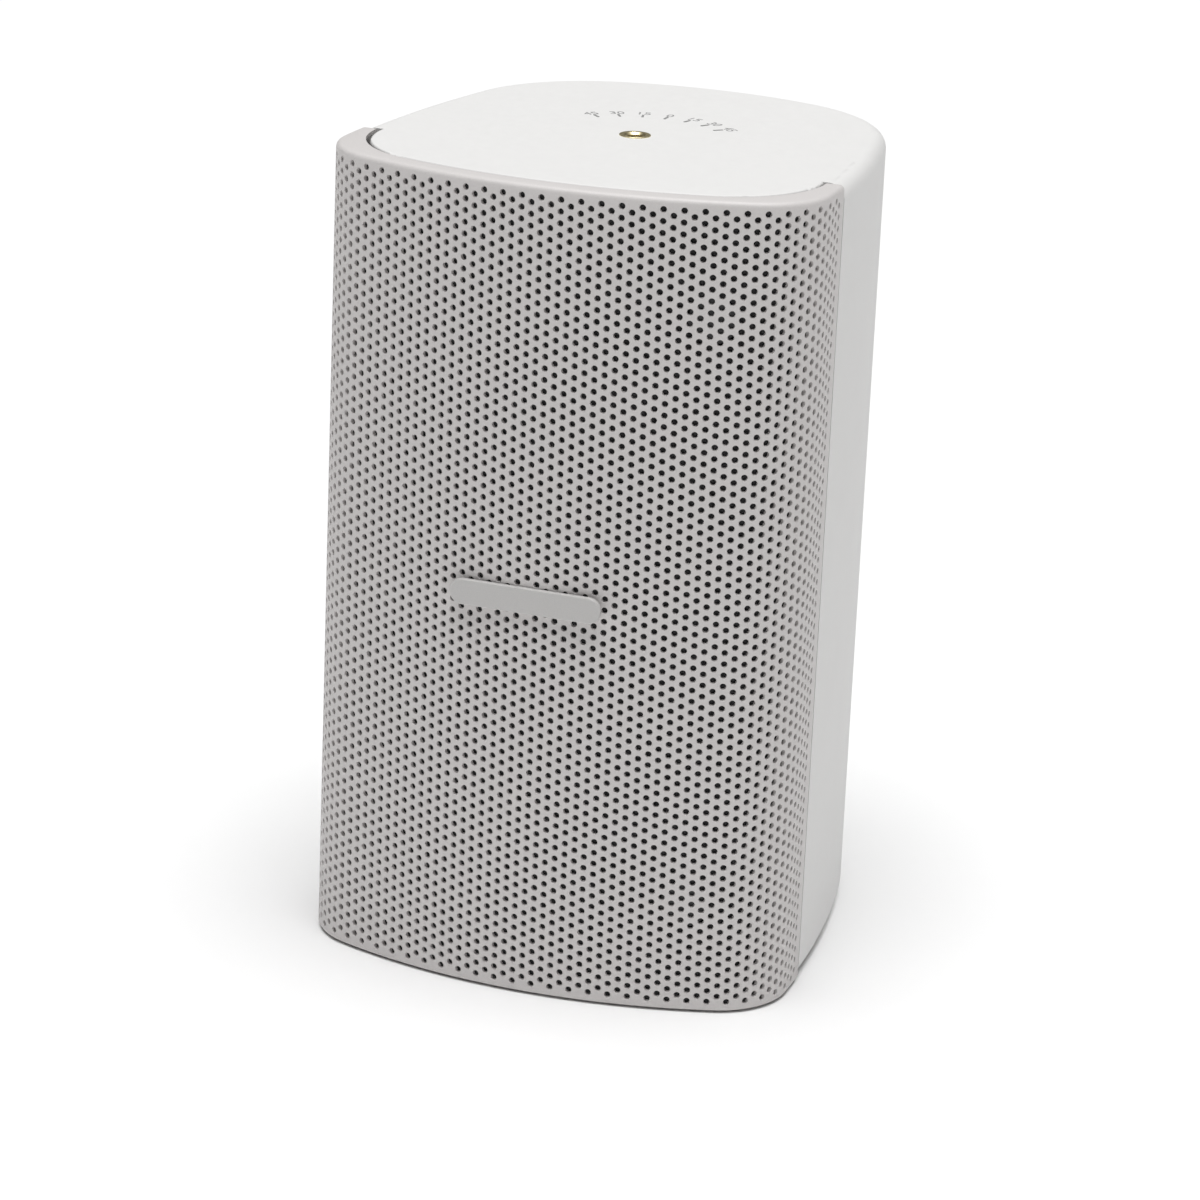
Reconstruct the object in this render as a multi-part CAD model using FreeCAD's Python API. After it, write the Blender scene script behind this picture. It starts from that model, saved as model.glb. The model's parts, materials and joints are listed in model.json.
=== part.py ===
import FreeCAD, Part
import os
from math import asin, atan2, cos, degrees, pi, radians, sin, sqrt

# A bracket-mounted, network-powered loudspeaker, in millimetres.
# Origin: centre of the bottom of its bounding box. Front is -Y, +X is right, +Z is up.

Vec = FreeCAD.Vector
X_AXIS = Vec(1, 0, 0)
Y_AXIS = Vec(0, 1, 0)
Z_AXIS = Vec(0, 0, 1)

# --- driving dimensions -------------------------------------------------------------------

HEIGHT = 252.0
INSERT_PROUD = 0.3
TOP_Z = HEIGHT - INSERT_PROUD

# The plan is a ring of tangent arcs. Each ends where its outward normal has turned this far
# from straight ahead, and the last arc closes on the centre line.
FRONT_RADIUS = 172.0
FRONT_END = 21.0
CORNER_RADIUS = 24.3
CORNER_END = 90.5
SIDE_RADIUS = 418.0
SIDE_END = 102.2
BACK_CORNER_RADIUS = 50.2
BACK_CORNER_END = 162.3

SEAM_ANGLE = 92.3
GRILLE_END_ANGLE = 92.2
EDGE_ROUND = 5.0
WALL = 3.5
TOP_WALL = 4.0

# The front of the cabinet is a narrower core that stands inside the grille.
CORE_INSET = 7.5
CORE_CORNER_RADIUS = 32.0
CORE_HALF_WIDTH = 70.2
CORE_EDGE_ROUND = 0.8
RIM_GAP = 1.3

SHEET = 1.2
SHEET_BEND = 1.6
FOAM_THICKNESS = 3.0

BADGE_LENGTH = 48.0
BADGE_WIDTH = 8.0
BADGE_THICKNESS = 1.4
BADGE_GAP = 0.3
BADGE_Z = 126.0

BAFFLE_DEPTH = 22.5
BAFFLE_THICKNESS = 6.0
GASKET = 1.5

# The opening in the front wall behind the baffle.
FRAME_THICKNESS = 4.0
OPENING_X = (-48.0, 48.0)
OPENING_Z = (22.0, 230.0)
OPENING_CORNER = 8.0

# Shank radii of the screws, and the bosses they go into.
BAFFLE_SCREW = 1.75
DRIVER_SCREW = 1.5
PANEL_SCREW = 1.5
BOARD_SCREW = 1.25
SCREW_BOSS = 4.5

# The ball studs of the grille, and the rubber grommets that hold them.
STUD_FOOT = 7.0
STUD_STEM = 2.6
GROMMET_SLEEVE = 5.0
GROMMET_LIP = 6.2

WOOFER_Z = 76.0
WOOFER_RADIUS = 51.5
TWEETER_Z = 187.0
TWEETER_RADIUS = 36.0
PORT_Z = 139.3
PORT_WIDTH = 76.0
PORT_HEIGHT = 13.0
PORT_WALL = 1.6
PORT_LENGTH = 60.0

PIVOT_DEPTH = 79.0
INSERT_RADIUS = 4.8
THREAD_RADIUS = 2.5
INSERT_LENGTH = 14.0
INSERT_SUNK = 0.3
REAR_INSERT_SUNK = 0.5
BOSS_RADIUS = 8.0
BOSS_DEPTH = 17.0
REAR_BOSS_RADIUS = 7.5
RIB = 2.5
RIB_REACH_X = 40.0
RIB_REACH_Y = 26.0

# The aiming scale: raised marks on the top, behind the pivot.
SCALE_RADIUS = 26.6
SCALE_STEP = 15
SCALE_END = 45
MARK_LENGTH = 3.2
MARK_WIDTH = 0.7
MARK_RISE = 0.15

PANEL_HALF_WIDTH = 42.0
PANEL_LOW = 60.0
PANEL_HIGH = 200.0
PANEL_RECESS = 11.5
PANEL_THICKNESS = 2.0
PANEL_GASKET = 1.0
PANEL_GAP = 0.5
PANEL_SEAT_WIDTH = 8.5
PANEL_SEAT = 3.5
FRAME_WALL = 4.0
BRACKET_HEIGHTS = (44.0, 216.0)
TETHER_Z = 232.0

BOARD_HALF_WIDTH = 32.0
BOARD_LOW = 72.0
BOARD_HIGH = 188.0
BOARD_THICKNESS = 1.6
BOARD_TO_PANEL = 17.4

SOCKET_X = -17.0
SOCKET_Z = 88.0
CONTACT_PITCH = 1.02
TERMINAL_PITCH = 5.08
TERMINAL_X = 13.0
RESET_X = -24.0
PAIR_X = -8.0
MUTE_X = 9.0
LIGHT_X = 24.0
CONTROL_Z = 114.0
MICROPHONE_Z = 234.0
MICROPHONE_GAP = 2.0
LEAD_X = 33.0
MUTE_TRAVEL = 3.0

CLEAR = 0.3
FINGER = 0.25


# --- shapes used throughout ---------------------------------------------------------------


def export(name, shape):
    """Writes one sub-part, after checking that its solids are sound."""
    if not shape.isValid() or not shape.Solids:
        raise ValueError(name + " is not a valid solid")
    shape.exportStep("parts/" + name + ".step")


def box(x, y, z):
    """A box between the two limits given for each axis."""
    return Part.makeBox(x[1] - x[0], y[1] - y[0], z[1] - z[0], Vec(x[0], y[0], z[0]))


def grown(limits, by):
    """Two limits moved apart by an amount each."""
    return (limits[0] - by, limits[1] + by)


def rod(radius, start, end):
    """A cylinder from one point to another."""
    return Part.makeCylinder(radius, start.distanceToPoint(end), start, end - start)


def tube(outer, inner, start, end):
    """A ring or tube from one point to another."""
    return rod(outer, start, end).cut(rod(inner, start, end))


def group(shapes):
    """Separate solids that share one node."""
    return Part.makeCompound(shapes)


def fused(shapes):
    """One solid from overlapping shapes."""
    return shapes[0].multiFuse(shapes[1:]).removeSplitter()


def lathe_y(points, x, z):
    """A solid turned about a line along Y through (x, z), from a closed outline of (radius, y)."""
    corners = [Vec(x + r, y, z) for r, y in points]
    face = Part.Face(Part.makePolygon(corners + corners[:1]))
    return face.revolve(Vec(x, 0, z), Y_AXIS, 360)


def rounded_slab(x, y, z, corner):
    """A slab lying across Y, with its four corners rounded as seen from the front."""
    slab = box(x, y, z)
    edges = [e for e in slab.Edges if abs(e.Vertexes[0].Y - e.Vertexes[-1].Y) > 0.5 * (y[1] - y[0])]
    return slab.makeFillet(corner, edges)


def prism(sides, radius, start, end):
    """A regular prism from one point to another. Its corners lie at the radius."""
    along = end - start
    side = along.cross(Z_AXIS if abs(along.z) < 0.9 * along.Length else X_AXIS).normalize()
    other = along.cross(side).normalize()
    turns = [2.0 * pi * k / sides for k in range(sides)]
    corners = [start + side * (radius * cos(a)) + other * (radius * sin(a)) for a in turns]
    return Part.Face(Part.makePolygon(corners + corners[:1])).extrude(along)


def screw(seat, direction, shank, length, head_radius, head_height):
    """A cap screw: seat is under its head, and direction is the way that its shank goes."""
    top = seat - direction * head_height
    body = rod(head_radius, top, seat).fuse(rod(shank, seat, seat + direction * length))
    key = prism(6, 0.5 * head_radius, top, top + direction * (0.6 * head_height))
    return body.removeSplitter().cut(key)


# --- plan outlines ------------------------------------------------------------------------


def normal(angle):
    """The unit vector that points this many degrees from straight ahead, towards +X."""
    return Vec(sin(radians(angle)), -cos(radians(angle)), 0)


def closing_radius():
    """The radius of the back arc, which brings the ring of arcs back to the centre line."""
    half_width = 0.0
    begin = 0.0
    for radius, end in [
        (FRONT_RADIUS, FRONT_END),
        (CORNER_RADIUS, CORNER_END),
        (SIDE_RADIUS, SIDE_END),
        (BACK_CORNER_RADIUS, BACK_CORNER_END),
    ]:
        half_width += radius * (sin(radians(end)) - sin(radians(begin)))
        begin = end
    return half_width / sin(radians(begin))


BODY_ARCS = [
    (FRONT_RADIUS, FRONT_END),
    (CORNER_RADIUS, CORNER_END),
    (SIDE_RADIUS, SIDE_END),
    (BACK_CORNER_RADIUS, BACK_CORNER_END),
    (closing_radius(), 180.0),
]


def ring_depth(arcs):
    """How far a chain of arcs reaches from front to back."""
    depth = 0.0
    begin = 0.0
    for radius, end in arcs:
        depth += radius * (cos(radians(begin)) - cos(radians(end)))
        begin = end
    return depth


DEPTH = ring_depth(BODY_ARCS)
FRONT = -0.5 * (DEPTH - BADGE_GAP - BADGE_THICKNESS)
BACK = FRONT + DEPTH

CORE_FRONT_RADIUS = FRONT_RADIUS - CORE_INSET
CORE_FRONT_END = degrees(
    asin((CORE_HALF_WIDTH - CORE_CORNER_RADIUS) / (CORE_FRONT_RADIUS - CORE_CORNER_RADIUS))
)
CORE_ARCS = [(CORE_FRONT_RADIUS, CORE_FRONT_END), (CORE_CORNER_RADIUS, 90.0)]


def arc_chain(arcs, front, first, last, inset):
    """Right-hand edges of a chain of tangent arcs between two normals, drawn in by inset."""
    edges = []
    point = Vec(0, front + inset, 0)
    begin = 0.0
    for full_radius, end in arcs:
        radius = full_radius - inset
        centre = point - normal(begin) * radius
        low = max(begin, first)
        high = min(end, last)
        if high > low:
            ends = [centre + normal(a) * radius for a in (low, 0.5 * (low + high), high)]
            edges.append(Part.Arc(*ends).toShape())
        point = centre + normal(end) * radius
        begin = end
    return edges


def line(a, b):
    return Part.LineSegment(a, b).toShape()


def mirrored_face(right):
    """The face inside a right-hand chain of edges and its mirror image, closed straight across."""
    edges = list(right)
    for edge in right:
        edges.append(edge.mirror(Vec(0, 0, 0), X_AXIS))
    ends = (right[0].valueAt(right[0].FirstParameter), right[-1].valueAt(right[-1].LastParameter))
    for end in ends:
        if abs(end.x) > 1e-6:
            edges.append(line(end, Vec(-end.x, end.y, 0)))
    return Part.Face(Part.Wire(Part.__sortEdges__(edges)))


def body_face(first, last, inset, back_to=None):
    """Plan of the outer ring between two normals, and straight on to back_to where it is given."""
    right = arc_chain(BODY_ARCS, FRONT, first, last, inset)
    if back_to is not None:
        end = right[-1].valueAt(right[-1].LastParameter)
        right.append(line(end, Vec(end.x, back_to, 0)))
    return mirrored_face(right)


def core_face(inset, back_to):
    """Plan of the narrower core, from its curved front straight back to back_to."""
    right = arc_chain(CORE_ARCS, FRONT + CORE_INSET, 0.0, 90.0, inset)
    end = right[-1].valueAt(right[-1].LastParameter)
    right.append(line(end, Vec(end.x, back_to, 0)))
    return mirrored_face(right)


def extruded(face, low, high):
    lifted = face.copy()
    lifted.translate(Vec(0, 0, low))
    return lifted.extrude(Vec(0, 0, high - low))


def seam_y():
    """Where the side seam between grille and cabinet lies."""
    side = arc_chain(BODY_ARCS, FRONT, 0.0, SEAM_ANGLE, 0.0)[-1]
    return side.valueAt(side.LastParameter).y


SEAM_Y = seam_y()
BAFFLE_Y = FRONT + BAFFLE_DEPTH
BAFFLE_BACK = BAFFLE_Y + BAFFLE_THICKNESS
FRAME_Y = BAFFLE_BACK + GASKET
FRAME_BACK = FRAME_Y + FRAME_THICKNESS
PIVOT_Y = FRONT + PIVOT_DEPTH
PANEL_OUT = BACK - PANEL_RECESS
PANEL_IN = PANEL_OUT - PANEL_THICKNESS
RECESS_FLOOR = PANEL_IN - PANEL_GASKET
BOARD_BACK = PANEL_IN - BOARD_TO_PANEL
BOARD_FRONT = BOARD_BACK - BOARD_THICKNESS


def level_arcs(solid, z, keep):
    """The curved edges of a prism's top or bottom face that keep accepts."""
    found = []
    for edge in solid.Edges:
        flat = abs(edge.BoundBox.ZMin - z) < 1e-4 and abs(edge.BoundBox.ZMax - z) < 1e-4
        if flat and keep(edge):
            found.append(edge)
    return found


def is_arc(edge):
    return "Circle" in edge.Curve.TypeId


# --- places shared by several pieces ------------------------------------------------------

BAFFLE_SCREWS = [Vec(x, BAFFLE_Y, z) for z in (18.0, 134.0, 234.0) for x in (-54.5, 54.5)]
STUDS = [Vec(x, BAFFLE_Y, z) for z in (34.0, 216.0) for x in (-51.0, 51.0)]
WOOFER_SCREWS = [Vec(x, BAFFLE_Y, WOOFER_Z + z) for x in (-34.0, 34.0) for z in (-34.0, 34.0)]
TWEETER_SCREWS = [Vec(x, BAFFLE_Y, TWEETER_Z + z) for x in (-22.6, 22.6) for z in (-22.6, 22.6)]
PANEL_SCREWS = [Vec(x, PANEL_OUT, z) for z in (66.0, 130.0, 194.0) for x in (-38.0, 38.0)]
BOARD_SCREWS = [Vec(x, BOARD_FRONT, z) for z in (76.5, 183.5) for x in (-27.5, 27.5)]
MICROPHONE_POSTS = [Vec(x, BAFFLE_Y, MICROPHONE_Z) for x in (-20.0, 20.0)]
MICROPHONES = [Vec(x, BAFFLE_Y, MICROPHONE_Z) for x in (-30.0, -10.0, 10.0, 29.0)]


# --- cabinet ------------------------------------------------------------------------------


def outer_block():
    """The solid outside of the cabinet: the full-width rear and the core inside the grille."""
    rear = extruded(body_face(SEAM_ANGLE, 180.0, 0.0), 0.0, TOP_Z)
    arcs = level_arcs(rear, 0.0, is_arc) + level_arcs(rear, TOP_Z, is_arc)
    rear = rear.makeFillet(EDGE_ROUND, arcs)
    core = extruded(core_face(0.0, SEAM_Y + 8.0), 0.0, TOP_Z)
    arcs = level_arcs(core, 0.0, is_arc) + level_arcs(core, TOP_Z, is_arc)
    core = core.makeFillet(CORE_EDGE_ROUND, arcs)
    return rear.fuse(core).removeSplitter()


def inner_space():
    """The hollow behind the front frame."""
    high = TOP_Z - TOP_WALL
    rear = extruded(body_face(SEAM_ANGLE + 1.0, 180.0, WALL), TOP_WALL, high)
    core = extruded(core_face(WALL, SEAM_Y + 8.0), TOP_WALL, high)
    behind = box((-100, 100), (FRAME_BACK, BACK), (0, HEIGHT))
    return rear.fuse(core.common(behind)).removeSplitter()


def pivot_boss(low, high):
    """A boss for a threaded insert in the top or bottom wall, with two stiffening ribs."""
    at = Vec(0, PIVOT_Y, 0)
    boss = rod(BOSS_RADIUS, at + Z_AXIS * low, at + Z_AXIS * high)
    ribs = [
        box((-RIB_REACH_X, RIB_REACH_X), (PIVOT_Y - 0.5 * RIB, PIVOT_Y + 0.5 * RIB), (low + 4, high)),
        box((-0.5 * RIB, 0.5 * RIB), (PIVOT_Y - RIB_REACH_Y, PIVOT_Y + RIB_REACH_Y), (low + 4, high)),
    ]
    if low < 0.5 * HEIGHT:
        ribs = [r.translated(Vec(0, 0, -4)) for r in ribs]
    return [boss] + ribs


def cabinet_shell():
    outside = outer_block()
    shell = outside.cut(inner_space())
    front_space = box((-100, 100), (FRONT - 5, FRAME_Y), (TOP_WALL, TOP_Z - TOP_WALL))
    shell = shell.cut(front_space)
    opening = rounded_slab(OPENING_X, (FRAME_Y - 1, FRAME_BACK + 1), OPENING_Z, OPENING_CORNER)
    shell = shell.cut(opening)

    additions = pivot_boss(TOP_Z - BOSS_DEPTH, TOP_Z - 1.0) + pivot_boss(1.0, BOSS_DEPTH)
    for z in BRACKET_HEIGHTS + (TETHER_Z,):
        start = Vec(0, BACK - BOSS_DEPTH, z)
        additions.append(rod(REAR_BOSS_RADIUS, start, Vec(0, BACK - REAR_INSERT_SUNK, z)))
    for at in BAFFLE_SCREWS:
        start = Vec(at.x, FRAME_Y, at.z)
        additions.append(rod(SCREW_BOSS, start, Vec(at.x, FRAME_BACK + 10.0, at.z)))
    shell = shell.multiFuse([a.common(outside) for a in additions])

    cuts = [panel_frame_block(), lead_hole(FRAME_Y - 1, FRAME_BACK + 1)]
    cuts.append(insert_hole(Vec(0, PIVOT_Y, HEIGHT), Z_AXIS))
    cuts.append(insert_hole(Vec(0, PIVOT_Y, INSERT_SUNK), Z_AXIS * -1))
    for z in BRACKET_HEIGHTS + (TETHER_Z,):
        cuts.append(insert_hole(Vec(0, BACK - REAR_INSERT_SUNK, z), Y_AXIS))
    for at in BAFFLE_SCREWS:
        start = Vec(at.x, FRAME_Y - 1, at.z)
        cuts.append(rod(BAFFLE_SCREW, start, Vec(at.x, FRAME_BACK + 8.0, at.z)))
    return shell.cut(Part.makeCompound(cuts)).removeSplitter()


def panel_frame_block():
    """The block of space that the panel frame fills in the back of the cabinet."""
    half = PANEL_HALF_WIDTH + PANEL_GAP + FRAME_WALL
    grow = PANEL_GAP + FRAME_WALL
    return box((-half, half), (RECESS_FLOOR - PANEL_SEAT, BACK + 1.0), (PANEL_LOW - grow, PANEL_HIGH + grow))


def panel_frame():
    """The moulded frame bonded into the back of the shell, in which the input panel sits."""
    frame = panel_frame_block().common(outer_block())
    pocket = rounded_slab(
        (-PANEL_HALF_WIDTH - PANEL_GAP, PANEL_HALF_WIDTH + PANEL_GAP),
        (RECESS_FLOOR, BACK + 5),
        (PANEL_LOW - PANEL_GAP, PANEL_HIGH + PANEL_GAP),
        5.0,
    )
    edge = PANEL_SEAT_WIDTH
    window = box(
        (-PANEL_HALF_WIDTH + edge, PANEL_HALF_WIDTH - edge),
        (RECESS_FLOOR - 12, BACK),
        (PANEL_LOW + edge, PANEL_HIGH - edge),
    )
    frame = frame.cut(pocket).cut(window)
    starts = [Vec(at.x, RECESS_FLOOR, at.z) for at in PANEL_SCREWS]
    frame = fused([frame] + [rod(SCREW_BOSS, start, start - Y_AXIS * 12.0) for start in starts])
    return frame.cut(group([rod(PANEL_SCREW, start + Y_AXIS, start - Y_AXIS * 10.0) for start in starts]))


def angle_scale():
    """Raised marks on the top that show how far the speaker is turned on its pivots."""
    across = (-0.5 * MARK_WIDTH, 0.5 * MARK_WIDTH)
    along = (PIVOT_Y + SCALE_RADIUS, PIVOT_Y + SCALE_RADIUS + MARK_LENGTH)
    marks = []
    for turn in range(-SCALE_END, SCALE_END + 1, SCALE_STEP):
        mark = box(across, along, (TOP_Z, TOP_Z + MARK_RISE))
        mark.rotate(Vec(0, PIVOT_Y, 0), Z_AXIS, turn)
        marks.append(mark)
    return group(marks)


def insert_hole(mouth, outward):
    """The moulded hole for an insert, open past its mouth."""
    return prism(6, INSERT_RADIUS, mouth + outward, mouth - outward * INSERT_LENGTH)


def threaded_insert(mouth, outward):
    """A brass insert with six flats that stop it turning. Its thread is a plain bore."""
    end = mouth - outward * INSERT_LENGTH
    return prism(6, INSERT_RADIUS, mouth, end).cut(rod(THREAD_RADIUS, mouth, end))


def inserts():
    export("top_pivot_insert", threaded_insert(Vec(0, PIVOT_Y, HEIGHT), Z_AXIS))
    export("bottom_pivot_insert", threaded_insert(Vec(0, PIVOT_Y, INSERT_SUNK), Z_AXIS * -1))
    mouth_y = BACK - REAR_INSERT_SUNK
    bracket = [threaded_insert(Vec(0, mouth_y, z), Y_AXIS) for z in BRACKET_HEIGHTS]
    export("bracket_inserts", group(bracket))
    export("tether_insert", threaded_insert(Vec(0, mouth_y, TETHER_Z), Y_AXIS))


# --- grille and badge ---------------------------------------------------------------------


def grille_tray():
    """A steel wrap with turned-in rims at top and bottom, open at the back."""
    wrap = extruded(body_face(0.0, GRILLE_END_ANGLE, 0.0), 0.0, TOP_Z)
    arcs = level_arcs(wrap, 0.0, is_arc) + level_arcs(wrap, TOP_Z, is_arc)
    wrap = wrap.makeFillet(SHEET_BEND, arcs)
    hollow = extruded(body_face(0.0, GRILLE_END_ANGLE, SHEET, SEAM_Y + 5), SHEET, TOP_Z - SHEET)
    way_for_core = extruded(core_face(-RIM_GAP, SEAM_Y + 5), -1.0, HEIGHT + 1)
    bush_hole = rod(3.0, Vec(0, FRONT - 1, BADGE_Z), Vec(0, FRONT + 5, BADGE_Z))
    return wrap.cut(hollow).cut(way_for_core).cut(bush_hole)


def grille_foam():
    """The foam liner that is bonded to the inside of the grille."""
    low = SHEET + 0.2
    high = TOP_Z - SHEET - 0.2
    outer = extruded(body_face(0.0, 86.0, SHEET), low, high)
    inner = extruded(body_face(0.0, 86.0, SHEET + FOAM_THICKNESS, SEAM_Y + 5), low - 1, high + 1)
    liner = outer.cut(inner)
    end = arc_chain(BODY_ARCS, FRONT, 0.0, 86.0, SHEET + FOAM_THICKNESS)[-1]
    behind = end.valueAt(end.LastParameter).y
    liner = liner.cut(box((-100, 100), (behind - 0.5, BACK), (0, HEIGHT)))
    for at in STUDS:
        liner = liner.cut(rod(STUD_FOOT + 0.5, Vec(at.x, FRONT - 5, at.z), Vec(at.x, BAFFLE_Y, at.z)))
    return liner.cut(rod(5.5, Vec(0, FRONT - 5, BADGE_Z), Vec(0, BAFFLE_Y, BADGE_Z)))


def grille_inside_y(x):
    """How far forward the grille's inner face lies at a distance from the centre line."""
    radius = FRONT_RADIUS - SHEET
    return FRONT + SHEET + radius - sqrt(radius * radius - x * x)


def grille_studs():
    """Ball studs that are bonded inside the grille and snap into the baffle's grommets."""
    inside = extruded(body_face(0.0, 86.0, SHEET), 0.0, HEIGHT)
    studs = []
    for at in STUDS:
        foot = grille_inside_y(abs(at.x) + STUD_FOOT) + 1.5
        base = rod(STUD_FOOT, Vec(at.x, FRONT, at.z), Vec(at.x, foot, at.z)).common(inside)
        stem = rod(STUD_STEM, Vec(at.x, foot - 0.5, at.z), Vec(at.x, BAFFLE_Y + 3.5, at.z))
        tip = Part.makeCone(STUD_STEM, 1.6, 1.5, Vec(at.x, BAFFLE_Y + 3.5, at.z), Y_AXIS)
        studs.append(fused([base, stem, tip]))
    return group(studs)


def badge():
    """A blank bar badge that can be turned for a speaker that lies on its side."""
    back = FRONT - BADGE_GAP
    plate = rounded_slab(
        (-0.5 * BADGE_LENGTH, 0.5 * BADGE_LENGTH),
        (back - BADGE_THICKNESS, back),
        (BADGE_Z - 0.5 * BADGE_WIDTH, BADGE_Z + 0.5 * BADGE_WIDTH),
        0.5 * BADGE_WIDTH - 0.1,
    )
    front_edges = [e for e in plate.Edges if e.BoundBox.YMax < back - BADGE_THICKNESS + 1e-4]
    plate = plate.makeFillet(0.5, front_edges)
    stem = rod(2.0, Vec(0, back - 0.2, BADGE_Z), Vec(0, FRONT + 5.6, BADGE_Z))
    return fused([plate, stem])


def grille_and_badge():
    export("grille_tray", grille_tray())
    export("grille_foam", grille_foam())
    export("grille_studs", grille_studs())
    sleeve = rod(3.0, Vec(0, FRONT, BADGE_Z), Vec(0, FRONT + 4.2, BADGE_Z))
    collar = rod(5.0, Vec(0, FRONT + SHEET + 0.1, BADGE_Z), Vec(0, FRONT + 3.0, BADGE_Z))
    bore = rod(2.05, Vec(0, FRONT - 1, BADGE_Z), Vec(0, FRONT + 6, BADGE_Z))
    export("badge_bush", fused([sleeve, collar]).cut(bore))
    export("badge", badge())
    export("badge_retainer", tube(4.0, 2.0, Vec(0, FRONT + 4.5, BADGE_Z), Vec(0, FRONT + 5.5, BADGE_Z)))


# --- baffle -------------------------------------------------------------------------------


def lead_hole(low, high):
    """Where the microphone lead goes through the front wall."""
    return rod(1.3, Vec(LEAD_X, low, MICROPHONE_Z), Vec(LEAD_X, high, MICROPHONE_Z))


def front_baffle():
    plate = extruded(core_face(0.5, SEAM_Y), TOP_WALL + 0.4, TOP_Z - TOP_WALL - 0.4)
    plate = plate.common(box((-100, 100), (BAFFLE_Y, BAFFLE_BACK), (0, HEIGHT)))
    low = BAFFLE_Y - 1
    high = BAFFLE_BACK + 1
    holes = [
        rod(45.6, Vec(0, low, WOOFER_Z), Vec(0, high, WOOFER_Z)),
        rod(23.0, Vec(0, low, TWEETER_Z), Vec(0, high, TWEETER_Z)),
        port_prism(PORT_WALL, low, high),
    ]
    for at in BAFFLE_SCREWS:
        holes.append(rod(BAFFLE_SCREW + FINGER, Vec(at.x, low, at.z), Vec(at.x, high, at.z)))
    for at in STUDS:
        holes.append(rod(GROMMET_SLEEVE, Vec(at.x, low, at.z), Vec(at.x, high, at.z)))
    for at in WOOFER_SCREWS + TWEETER_SCREWS:
        holes.append(rod(DRIVER_SCREW, Vec(at.x, low, at.z), Vec(at.x, BAFFLE_BACK - 1.0, at.z)))
    holes.append(lead_hole(low, high))
    posts = []
    for at in MICROPHONE_POSTS:
        posts.append(rod(2.2, at - Y_AXIS * MICROPHONE_GAP, at + Y_AXIS))
        holes.append(rod(1.0, at - Y_AXIS * MICROPHONE_GAP, at + Y_AXIS * 4.0))
    return fused([plate] + posts).cut(Part.makeCompound(holes))


def port_prism(grow, low, high):
    """The port's slot with round ends, grown by a wall thickness."""
    half = 0.5 * PORT_WIDTH + grow
    tall = 0.5 * PORT_HEIGHT + grow
    return rounded_slab((-half, half), (low, high), (PORT_Z - tall, PORT_Z + tall), tall - 0.1)


def baffle_gasket():
    ring = extruded(core_face(1.0, SEAM_Y), TOP_WALL + 1.0, TOP_Z - TOP_WALL - 1.0)
    ring = ring.common(box((-100, 100), (BAFFLE_BACK, FRAME_Y), (0, HEIGHT)))
    through = (BAFFLE_BACK - 1, FRAME_Y + 1)
    inner = rounded_slab(grown(OPENING_X, 0.5), through, grown(OPENING_Z, 0.5), OPENING_CORNER)
    holes = [inner, lead_hole(BAFFLE_BACK - 1, FRAME_Y + 1)]
    for at in BAFFLE_SCREWS:
        holes.append(rod(2.2, Vec(at.x, BAFFLE_BACK - 1, at.z), Vec(at.x, FRAME_Y + 1, at.z)))
    for at in STUDS:
        holes.append(rod(GROMMET_LIP, Vec(at.x, BAFFLE_BACK - 1, at.z), Vec(at.x, FRAME_Y + 1, at.z)))
    return ring.cut(Part.makeCompound(holes))


def grille_grommets():
    grommets = []
    for at in STUDS:
        bore = STUD_STEM + CLEAR
        sleeve = tube(GROMMET_SLEEVE, bore, at, at + Y_AXIS * BAFFLE_THICKNESS)
        lip = tube(GROMMET_LIP, bore, at - Y_AXIS * 1.2, at)
        grommets.append(sleeve.fuse(lip).removeSplitter())
    return group(grommets)


def baffle_group():
    export("front_baffle", front_baffle())
    export("baffle_gasket", baffle_gasket())
    export("baffle_screws", group([screw(at, Y_AXIS, BAFFLE_SCREW, 16.0, 3.5, 2.4) for at in BAFFLE_SCREWS]))
    export("grille_grommets", grille_grommets())
    outer = port_prism(PORT_WALL, BAFFLE_Y, BAFFLE_Y + PORT_LENGTH)
    export("port_duct", outer.cut(port_prism(0.0, BAFFLE_Y - 1, BAFFLE_Y + PORT_LENGTH + 1)))
    back = BAFFLE_Y - MICROPHONE_GAP
    board = rounded_slab((-37, 37), (back - 1.6, back), (MICROPHONE_Z - 5, MICROPHONE_Z + 5), 2.0)
    export("microphone_board", board)
    cans = []
    for at in MICROPHONES:
        y = BAFFLE_Y - 3.6
        can = box((at.x - 2.0, at.x + 2.0), (y - 1.2, y), (at.z - 1.5, at.z + 1.5))
        cans.append(can.cut(rod(0.4, Vec(at.x, y - 2, at.z), Vec(at.x, y - 0.8, at.z))))
    export("microphones", group(cans))


# --- woofer -------------------------------------------------------------------------------


def woofer_basket():
    """A stamped frame: front flange, conical legs with four windows, spider ledge and motor seat."""
    b = BAFFLE_Y
    profile = [
        (45.0, b - 2.8), (WOOFER_RADIUS, b - 2.8), (WOOFER_RADIUS, b - 0.8), (45.4, b - 0.8),
        (45.4, b + 2.0), (33.5, b + 20.0), (33.5, b + 28.0), (14.0, b + 28.0), (14.0, b + 26.5),
        (32.0, b + 26.5), (32.0, b + 19.4), (43.9, b + 1.4), (43.9, b - 0.8), (45.0, b - 0.8),
    ]
    frame = lathe_y(profile, 0, WOOFER_Z)
    window = box((30, 60), (b + 4.5, b + 17.0), (-15, 15))
    for quarter in range(4):
        opening = window.copy()
        opening.rotate(Vec(0, 0, 0), Y_AXIS, 90 * quarter)
        opening.translate(Vec(0, 0, WOOFER_Z))
        frame = frame.cut(opening)
    for at in WOOFER_SCREWS:
        frame = frame.cut(rod(DRIVER_SCREW + FINGER, at - Y_AXIS * 5, at + Y_AXIS * 1))
    return frame


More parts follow.
